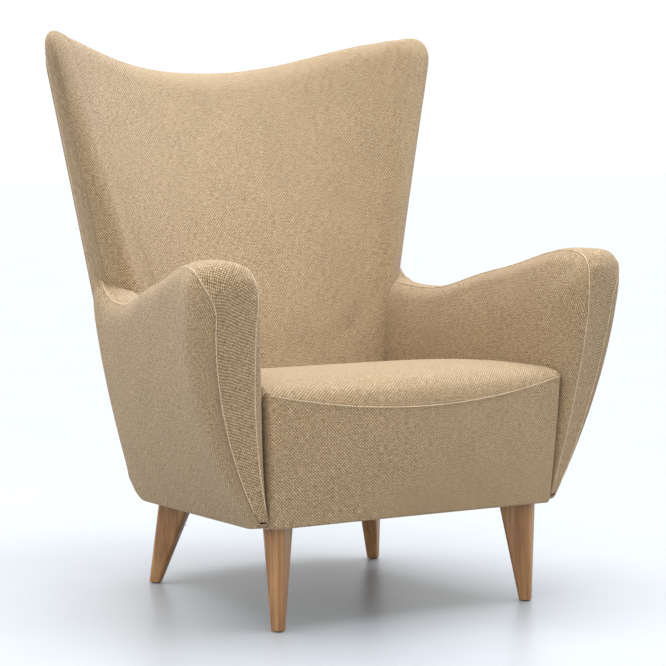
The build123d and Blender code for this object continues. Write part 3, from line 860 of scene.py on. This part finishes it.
def seam_cord(name, points, radius=cord_radius):
    bpy.ops.object.select_all(action="DESELECT")
    bpy.ops.curve.primitive_nurbs_path_add(location=(0, 0, 0))
    cord = bpy.context.object
    cord.name = cord.data.name = name
    cord.data.splines.clear()
    line = cord.data.splines.new("POLY")
    line.points.add(len(points) - 1)
    for target, point in zip(line.points, points):
        target.co = (*point, 1.0)
    cord.data.bevel_depth = radius
    cord.data.bevel_resolution = 2
    cord.data.use_fill_caps = True
    bpy.ops.object.convert(target="MESH")
    bpy.ops.object.shade_smooth()
    cord = bpy.context.object
    print(name, len(cord.data.polygons), "faces")
    return cord


# %% [markdown]
# Two seams run along each arm's band, one closes the seat over the front border, and a slightly
# thicker one follows the edge of the outside of the back, where that panel is sewn on by hand.

# %% The raised seams
band_seam = (0.02, 0.99)
band_points = 150
first = allowance / (1 + 2 * allowance)
last = (1 + allowance) / (1 + 2 * allowance)
seat_ends = (0.02, 0.98)
seat_points = 80
edge_from = 0.45
edge_points = 60
edge_margin = 0.01
edge_aside = 0.005
edge_rise = 0.0012
edge_radius = 0.0018


def inner_lay(t, aside):
    return first + aside, between(band_seam, t)


def outer_lay(t, aside):
    return last - aside, between(band_seam, t)


def seat_lay(t, aside):
    return between(seat_ends, t), aside


def outside_edge(t):
    """Round the outside of the back: up one side, along the top and down the other."""
    if t < 1:
        return 0.0, between((edge_from, 1.0), t)
    return (t - 1, 1.0) if t < 2 else (1.0, between((1.0, edge_from), t - 2))


def outside_line():
    points = []
    for i in range(3 * edge_points + 1):
        a, b = outside_edge(i / edge_points)
        a_in, b_in = min(max(a, edge_margin), 1 - edge_margin), min(b, 1 - edge_margin)
        here = outside_spot(a_in, b_in)
        beside = outside_spot(a_in + edge_aside, b_in) - here
        above = outside_spot(a_in, b_in + edge_aside) - here
        normal = beside.cross(above).normalized()
        points.append(outside_spot(a, b) - normal * (pulled[0] - edge_rise) + shift)
    return points


cords = {}
for side, lay, outward in (("inner", inner_lay, 1), ("outer", outer_lay, -1)):
    line = seam_line(band_spot, lay, outward, band_points)
    cord = seam_cord("arm_seam_" + side + "_right", line)
    cords[cord.name] = "arm_cover_right"
    cords[mirror_copy(cord, cord.name.replace("right", "left")).name] = "arm_cover_left"
seat_cord = seam_cord("seat_seam", seam_line(seat_spot, seat_lay, -1, seat_points))
cords[seat_cord.name] = "seat_cover"
back_cord = seam_cord("back_seam", outside_line(), edge_radius)
cords[back_cord.name] = "outside_back_panel"

# %% [markdown]
# At the two rear corners the arm's cloth is pulled round the seat's box frame and stapled under it,
# so that no raw timber shows between arm and back. A cube is set over the corner of the frame, its
# outer side follows the splay of the arm, and a bevel rounds it as stretched cloth does. So little
# of it can be seen that a laid panel would be wasted here.

# %% The wrapped rear corners
wrap_low = (0.150, 0.150, 0.1515)
wrap_high = (0.2324, 0.2235, 0.236)
wrap_round = 0.004

bpy.ops.object.select_all(action="DESELECT")
bpy.ops.mesh.primitive_cube_add(size=1, location=(0, 0, 0))
corner_wrap = bpy.context.object
corner_wrap.name = corner_wrap.data.name = "corner_wrap_right"
for vertex in corner_wrap.data.vertices:
    place = [between((wrap_low[k], wrap_high[k]), vertex.co[k] + 0.5) for k in range(3)]
    if vertex.co.x > 0:
        place[0] += arm_splay * (wrap_high[1] - place[1])
    vertex.co = place
soft_edge = corner_wrap.modifiers.new("soft_edge", "BEVEL")
soft_edge.width = wrap_round
soft_edge.segments = 3
bpy.ops.object.modifier_apply(modifier=soft_edge.name)
bpy.ops.object.shade_smooth_by_angle(angle=math.radians(40))
weave_map = corner_wrap.data.uv_layers[0]
weave_map.name = "weave"
for face in corner_wrap.data.polygons:
    flattest = max(range(3), key=lambda k: abs(face.normal[k]))
    u, v = [k for k in range(3) if k != flattest]
    for loop in face.loop_indices:
        corner = corner_wrap.data.vertices[corner_wrap.data.loops[loop].vertex_index].co
        weave_map.data[loop].uv = (corner[u], corner[v])
mirror_copy(corner_wrap, "corner_wrap_left")
print("corner wraps", len(corner_wrap.data.polygons), "faces each")

# %% [markdown]
# Every finish is a small net of shader nodes that works from the piece's own coordinates. These
# helpers add one node each and give back its output, so that a finish reads as a few lines.

# %% Helpers that build a finish
def node(tree, kind, **settings):
    made = tree.nodes.new(kind)
    for key, value in settings.items():
        setattr(made, key, value)
    return made


def calc(tree, operation, a, b=None):
    made = node(tree, "ShaderNodeMath", operation=operation)
    for socket, value in zip(made.inputs, (a, b)):
        if value is None:
            continue
        if isinstance(value, (int, float)):
            socket.default_value = value
        else:
            tree.links.new(value, socket)
    return made.outputs[0]


def ramp(tree, factor, stops):
    made = node(tree, "ShaderNodeValToRGB")
    elements = made.color_ramp.elements
    while len(elements) < len(stops):
        elements.new(0.5)
    for element, (position, colour) in zip(elements, stops):
        element.position = position
        element.color = (*colour, 1.0)
    tree.links.new(factor, made.inputs["Fac"])
    return made.outputs["Color"]


def noise(tree, vector, scale, detail=2.0, roughness=0.5):
    made = node(tree, "ShaderNodeTexNoise")
    made.inputs["Scale"].default_value = scale
    made.inputs["Detail"].default_value = detail
    made.inputs["Roughness"].default_value = roughness
    tree.links.new(vector, made.inputs["Vector"])
    return made.outputs["Fac"]


def stretched(tree, vector, scale):
    made = node(tree, "ShaderNodeMapping")
    made.inputs["Scale"].default_value = scale
    tree.links.new(vector, made.inputs["Vector"])
    return made.outputs["Vector"]


def mix_colours(tree, factor, a, b, blend="MIX"):
    made = node(tree, "ShaderNodeMix", data_type="RGBA", blend_type=blend)
    for socket, value in ((made.inputs[0], factor), (made.inputs[6], a), (made.inputs[7], b)):
        if isinstance(value, (int, float)):
            socket.default_value = value
        else:
            tree.links.new(value, socket)
    return made.outputs[2]


def new_material(name):
    material = bpy.data.materials.new(name)
    material.use_nodes = True
    tree = material.node_tree
    return material, tree, tree.nodes["Principled BSDF"]


def bump(tree, shader, height, strength, distance):
    made = node(tree, "ShaderNodeBump")
    made.inputs["Strength"].default_value = strength
    made.inputs["Distance"].default_value = distance
    tree.links.new(height, made.inputs["Height"])
    tree.links.new(made.outputs["Normal"], shader.inputs["Normal"])


# %% [markdown]
# The cloth is a chunky heathered weave: pale weft and browner warp cross over and under, so the
# crossings look like a lattice that runs slantwise. Two sine waves multiplied give the chequered
# crossings, noise drawn out along each yarn gives the flecks, and a slow noise lets the yarns
# wander a little. It reads the panel's own UV map, which is in metres. A picture of cloth would
# repeat in sight and blur close up. Nodes do neither.

# %% The woven cloth
yarn_pitch = 0.0029
wander_scale = 0.16
wander_size = (1.6, 1.6, 0.0)
warp_run = (0.9, 0.28, 1.0)
weft_run = (0.28, 0.9, 1.0)
warp_stops = [
    (0.30, (0.12, 0.067, 0.028)), (0.50, (0.25, 0.157, 0.074)), (0.70, (0.41, 0.283, 0.150))]
weft_stops = [
    (0.28, (0.23, 0.145, 0.067)), (0.45, (0.46, 0.330, 0.185)), (0.70, (0.72, 0.580, 0.385))]
# Grey to white by the yarns' height: painted shade in the gaps between yarns.
gap_shade_stops = [(0.0, (0.55, 0.50, 0.45)), (0.5, (1.0, 1.0, 1.0))]
cloud_stops = [(0.3, (0.92, 0.92, 0.92)), (0.7, (1.0, 1.0, 1.0))]


def wandering(tree, yarns):
    """The yarns' coordinates, pushed aside by a slow noise."""
    drift = node(tree, "ShaderNodeTexNoise")
    drift.inputs["Scale"].default_value = wander_scale
    drift.inputs["Detail"].default_value = 2.0
    tree.links.new(yarns, drift.inputs["Vector"])
    moved = node(tree, "ShaderNodeVectorMath", operation="MULTIPLY_ADD")
    tree.links.new(drift.outputs["Color"], moved.inputs[0])
    moved.inputs[1].default_value = wander_size
    tree.links.new(yarns, moved.inputs[2])
    return moved.outputs[0]


def flecked(tree, yarns, run, stops):
    """Yarns of one direction, flecked along their run."""
    return ramp(tree, noise(tree, stretched(tree, yarns, run), 1.0, 3.0, 0.6), stops)


def woven_cloth():
    material, tree, shader = new_material("woven_cloth")
    place = node(tree, "ShaderNodeUVMap", uv_map="weave")
    yarns = stretched(tree, place.outputs["UV"], (1 / yarn_pitch, 1 / yarn_pitch, 1.0))
    yarns = wandering(tree, yarns)
    apart = node(tree, "ShaderNodeSeparateXYZ")
    tree.links.new(yarns, apart.inputs[0])
    waves = [calc(tree, "SINE", calc(tree, "MULTIPLY", apart.outputs[k], math.pi)) for k in (0, 1)]
    crossing = calc(tree, "MULTIPLY", *waves)
    over = calc(tree, "ADD", calc(tree, "MULTIPLY", crossing, 1.6), 0.5)
    over = calc(tree, "MINIMUM", calc(tree, "MAXIMUM", over, 0.0), 1.0)
    warp = flecked(tree, yarns, warp_run, warp_stops)
    weft = flecked(tree, yarns, weft_run, weft_stops)
    colour = mix_colours(tree, over, warp, weft)
    # Where the crossing wave is near zero, between the yarns, the colour is multiplied darker:
    # painted shade in the weave's hollows.
    depth = calc(tree, "ABSOLUTE", crossing)
    colour = mix_colours(tree, 0.75, colour, ramp(tree, depth, gap_shade_stops), "MULTIPLY")
    cloudy = ramp(tree, noise(tree, place.outputs["UV"], 14.0), cloud_stops)
    colour = mix_colours(tree, 1.0, colour, cloudy, "MULTIPLY")
    tree.links.new(colour, shader.inputs["Base Color"])
    fuzz = noise(tree, yarns, 4.0, 2.0)
    height = calc(tree, "ADD", calc(tree, "POWER", depth, 0.6), calc(tree, "MULTIPLY", fuzz, 0.35))
    bump(tree, shader, height, 0.8, 0.0007)
    shader.inputs["Roughness"].default_value = 0.92
    shader.inputs["Specular IOR Level"].default_value = 0.25
    shader.inputs["Sheen Weight"].default_value = 0.08
    shader.inputs["Sheen Roughness"].default_value = 0.6
    return material


cloth = woven_cloth()
print(cloth.name, "has", len(cloth.node_tree.nodes), "nodes")

# %% [markdown]
# A raised seam is coloured paler than the panels, as a painted highlight where its ridge catches
# the light. It has no weave to show at its width, and flecks of noise in the cloth's colours do.

# %% The seams' cloth, painted paler as a highlight
# Pale tones for the seams: a painted highlight along each raised seam.
seam_highlight_stops = [(0.36, (0.36, 0.252, 0.143)), (0.60, (0.64, 0.508, 0.345))]


def seam_cloth():
    material, tree, shader = new_material("seam_highlight_cloth")
    place = node(tree, "ShaderNodeTexCoord")
    fleck = noise(tree, place.outputs["Object"], 420.0, 3.0)
    tree.links.new(ramp(tree, fleck, seam_highlight_stops), shader.inputs["Base Color"])
    bump(tree, shader, fleck, 0.5, 0.0005)
    shader.inputs["Roughness"].default_value = 0.9
    return material


seam_highlight_cloth = seam_cloth()
print(seam_highlight_cloth.name, "has", len(seam_highlight_cloth.node_tree.nodes), "nodes")

# %% [markdown]
# Each piece of cloth now gets its finish and is attached to the chair's root body. The solids that
# it stands for are hidden then, so that no two covers lie in the same place.

# %% Dress the panels in cloth and hide the solids that they stand for
panels = {
    "arm_band_right": ("arm_cover_right",), "arm_inside_right": ("arm_cover_right",),
    "arm_outside_right": ("arm_cover_right", "arm_foam_right"),
    "arm_band_left": ("arm_cover_left",), "arm_inside_left": ("arm_cover_left",),
    "arm_outside_left": ("arm_cover_left", "arm_foam_left"),
    "back_cover": ("back_pad",), "outside_back": ("outside_back_panel",),
    "seat_top": ("seat_cover", "seat_foam"), "front_panel": ("front_border",),
}


def dress(name, material, stood_for):
    piece = bpy.data.objects[name]
    piece.data.materials.clear()
    piece.data.materials.append(material)
    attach(piece, "root")
    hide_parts(*stood_for)
    return piece


for name, stood_for in panels.items():
    piece = dress(name, cloth, stood_for)
for side in ("right", "left"):
    dress("corner_wrap_" + side, cloth, ("arm_cover_" + side,))
for name, stood_for in cords.items():
    dress(name, seam_highlight_cloth, (stood_for,))
print("dressed", len(panels), "panels,", len(cords), "seams and two corners")

# %% [markdown]
# The legs are oiled oak with a straight grain that runs down each leg. Fine dark pores are noise
# drawn out along the height, and wider noise gives the broad bands of the growth rings. A picture
# of oak would have to be unwrapped round every leg. Noise in the leg's own space is like timber:
# it runs through the whole piece. The frame's timbers use the same helper in paler tones.

# %% The oak legs and the frame's timbers
def timber(name, stops, pores, roughness):
    material, tree, shader = new_material(name)
    place = node(tree, "ShaderNodeTexCoord")
    along = stretched(tree, place.outputs["Object"], (1.0, 1.0, 0.045))
    bands = noise(tree, along, 95.0, 3.0, 0.6)
    fine = noise(tree, stretched(tree, place.outputs["Object"], (1.0, 1.0, 0.03)), 620.0, 2.0)
    colour = ramp(tree, bands, stops)
    dark = ramp(tree, fine, [(0.30, (pores, pores * 0.92, pores * 0.85)), (0.46, (1.0, 1.0, 1.0))])
    colour = mix_colours(tree, 0.8, colour, dark, "MULTIPLY")
    tree.links.new(colour, shader.inputs["Base Color"])
    bump(tree, shader, fine, 0.25, 0.0004)
    gloss = calc(tree, "ADD", calc(tree, "MULTIPLY", fine, 0.18), roughness)
    tree.links.new(gloss, shader.inputs["Roughness"])
    return material


oak_stops = [
    (0.32, (0.23, 0.107, 0.037)), (0.5, (0.32, 0.158, 0.058)), (0.68, (0.40, 0.212, 0.085))]
beech_stops = [(0.3, (0.60, 0.42, 0.27)), (0.7, (0.72, 0.55, 0.38))]
plywood_stops = [(0.3, (0.66, 0.50, 0.33)), (0.7, (0.78, 0.63, 0.45))]
oak = timber("oiled_oak", oak_stops, 0.55, 0.38)
beech = timber("raw_beech", beech_stops, 0.8, 0.6)
plywood = timber("birch_plywood", plywood_stops, 0.85, 0.6)
print("timbers", [finish.name for finish in (oak, beech, plywood)])

# %% [markdown]
# What is hidden inside still gets a finish of its own: zinc-plated steel, pale foam, grey webbing,
# the black dust cloth under the seat and the dark nylon glides. Each could be as rich as the oak,
# but they are seldom seen, so one helper mixes two close tones by a fine noise for all of them.

# %% Finishes of the hidden pieces
def speckled(name, dark, light, scale, roughness, metallic=0.0):
    material, tree, shader = new_material(name)
    place = node(tree, "ShaderNodeTexCoord")
    grain = noise(tree, place.outputs["Object"], scale, 3.0)
    tree.links.new(ramp(tree, grain, [(0.35, dark), (0.65, light)]), shader.inputs["Base Color"])
    bump(tree, shader, grain, 0.3, 0.0004)
    shader.inputs["Roughness"].default_value = roughness
    shader.inputs["Metallic"].default_value = metallic
    return material


finishes = {
    "oak": oak, "beech": beech, "plywood": plywood,
    "steel": speckled("zinc_steel", (0.45, 0.46, 0.48), (0.62, 0.63, 0.66), 300.0, 0.35, 1.0),
    "foam": speckled("pale_foam", (0.74, 0.70, 0.58), (0.86, 0.82, 0.70), 900.0, 0.95),
    "webbing": speckled("grey_webbing", (0.12, 0.12, 0.12), (0.26, 0.26, 0.26), 700.0, 0.9),
    "dust_cloth": speckled("dust_cloth", (0.015, 0.015, 0.015), (0.05, 0.05, 0.05), 1200.0, 0.95),
    "nylon": speckled("dark_nylon", (0.05, 0.04, 0.03), (0.09, 0.07, 0.06), 500.0, 0.5),
    "upholstery": speckled("cloth_under", (0.45, 0.36, 0.25), (0.60, 0.50, 0.36), 900.0, 0.95),
}
for sub in frame["record"]["subparts"]:
    solid = frame["nodes"][sub["node"]]
    solid.data.materials.clear()
    solid.data.materials.append(finishes[sub["material_slot"]])
print("dressed", len(frame["nodes"]), "solids")

# %% [markdown]
# The chair stands on a wide, flat, pale floor in a white room. The room and a broad sun overhead
# give most of the light, so the shadow is soft. Four area lights help: two cool ones from the right
# for the seat and the back, and two for the front and the left side.

# %% The floor
floor_stops = [(0.3, (0.38, 0.395, 0.405)), (0.7, (0.40, 0.415, 0.425))]
bpy.ops.object.select_all(action="DESELECT")
bpy.ops.mesh.primitive_plane_add(size=60, location=(0, 0, 0))
floor = bpy.context.object
floor.name = "floor"
floor_material, floor_tree, floor_shader = new_material("pale_floor")
floor_place = node(floor_tree, "ShaderNodeTexCoord")
floor_grain = noise(floor_tree, floor_place.outputs["Object"], 3.0)
floor_tree.links.new(
    ramp(floor_tree, floor_grain, floor_stops), floor_shader.inputs["Base Color"])
floor_shader.inputs["Roughness"].default_value = 0.35
floor.data.materials.append(floor_material)
floor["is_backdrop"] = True
print("floor", [round(side) for side in floor.dimensions], "m")

# %% [markdown]
# An area light sends soft light from a square, and it is turned by pointing its own axis at an aim.
# A sun's angle tells how broad it looks: a broad sun gives shadows without edges.

# %% The lights
cool = (0.86, 1.0, 1.26)


def soft_light(name, place, aim, size, watts):
    bpy.ops.object.light_add(type="AREA", location=place)
    light = bpy.context.object
    light.name = name
    light.data.size = size
    light.data.energy = watts
    light.rotation_euler = (Vector(aim) - Vector(place)).to_track_quat("-Z", "Y").to_euler()
    return light


bpy.ops.object.light_add(type="SUN", location=(0.2, 0.6, 4.0))
top_light = bpy.context.object
top_light.name = "top_light"
top_light.data.energy = 4.4
top_light.data.angle = math.radians(66)
top_light.data.color = (0.94, 1.0, 1.09)
top_light.rotation_euler = (math.radians(-8), math.radians(3), 0)
seat_light = soft_light("seat_light", (0.75, -0.35, 2.2), (0, 0.15, 0.7), 1.0, 6)
seat_light.data.color = cool
back_light = soft_light("back_light", (1.10, -0.60, 2.0), (-0.06, 0.38, 0.92), 0.6, 1.6)
back_light.data.spread = math.radians(50)
back_light.data.color = cool
soft_light("front_light", (-1.6, -4.2, 1.8), (0, 0, 0.4), 2.4, 26)
soft_light("left_light", (-3.0, 1.5, 1.0), (-0.3, 0, 0.5), 2.0, 20)
world = bpy.data.worlds.new("studio")
world.use_nodes = True
room = world.node_tree.nodes["Background"]
room.inputs["Color"].default_value = (1.0, 1.0, 1.0, 1.0)
room.inputs["Strength"].default_value = 1.03
bpy.context.scene.world = world
bpy.context.scene.view_settings.view_transform = "Standard"

# %% [markdown]
# The camera stands where the photograph was taken from: to one side of the chair, a little above
# the seat, and about four and a half metres away. A long lens at that distance keeps the lines of
# the legs and arms nearly parallel. Its focal length was found in pixels, so it is turned into
# millimetres for a sensor of the usual width.

# %% Camera
sensor_mm = 36.0
camera_turn = math.radians(-30.98)
camera_pitch = math.radians(5.06)
camera_place = Vector((-2.2685, -3.9032, 0.8794)) + shift
focal_pixels = 2369.8
photo_pixels = 666
camera_data = bpy.data.cameras.new("camera")
camera = bpy.data.objects.new("camera", camera_data)
bpy.context.scene.collection.objects.link(camera)
camera_data.sensor_width = sensor_mm
camera_data.lens = sensor_mm * focal_pixels / photo_pixels
level = math.cos(camera_pitch)
away = Vector((
    math.sin(camera_turn) * level, -math.cos(camera_turn) * level, math.sin(camera_pitch)))
camera.location = camera_place
camera.rotation_euler = away.to_track_quat("Z", "Y").to_euler()
bpy.context.scene.camera = camera
print("lens", round(camera_data.lens, 1), "mm")

# %% [markdown]
# At the end everything in sight is measured again. The cloth should lie close to the solids, so
# the growth of its box over the solids' box is printed in millimetres.

# %% Measure and finish
shown_low, shown_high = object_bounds()
growth = [(v - s) * 1000 for v, s in zip(shown_high - shown_low, solid_high - solid_low)]
print("grows by", [round(g, 1) for g in growth], "mm")
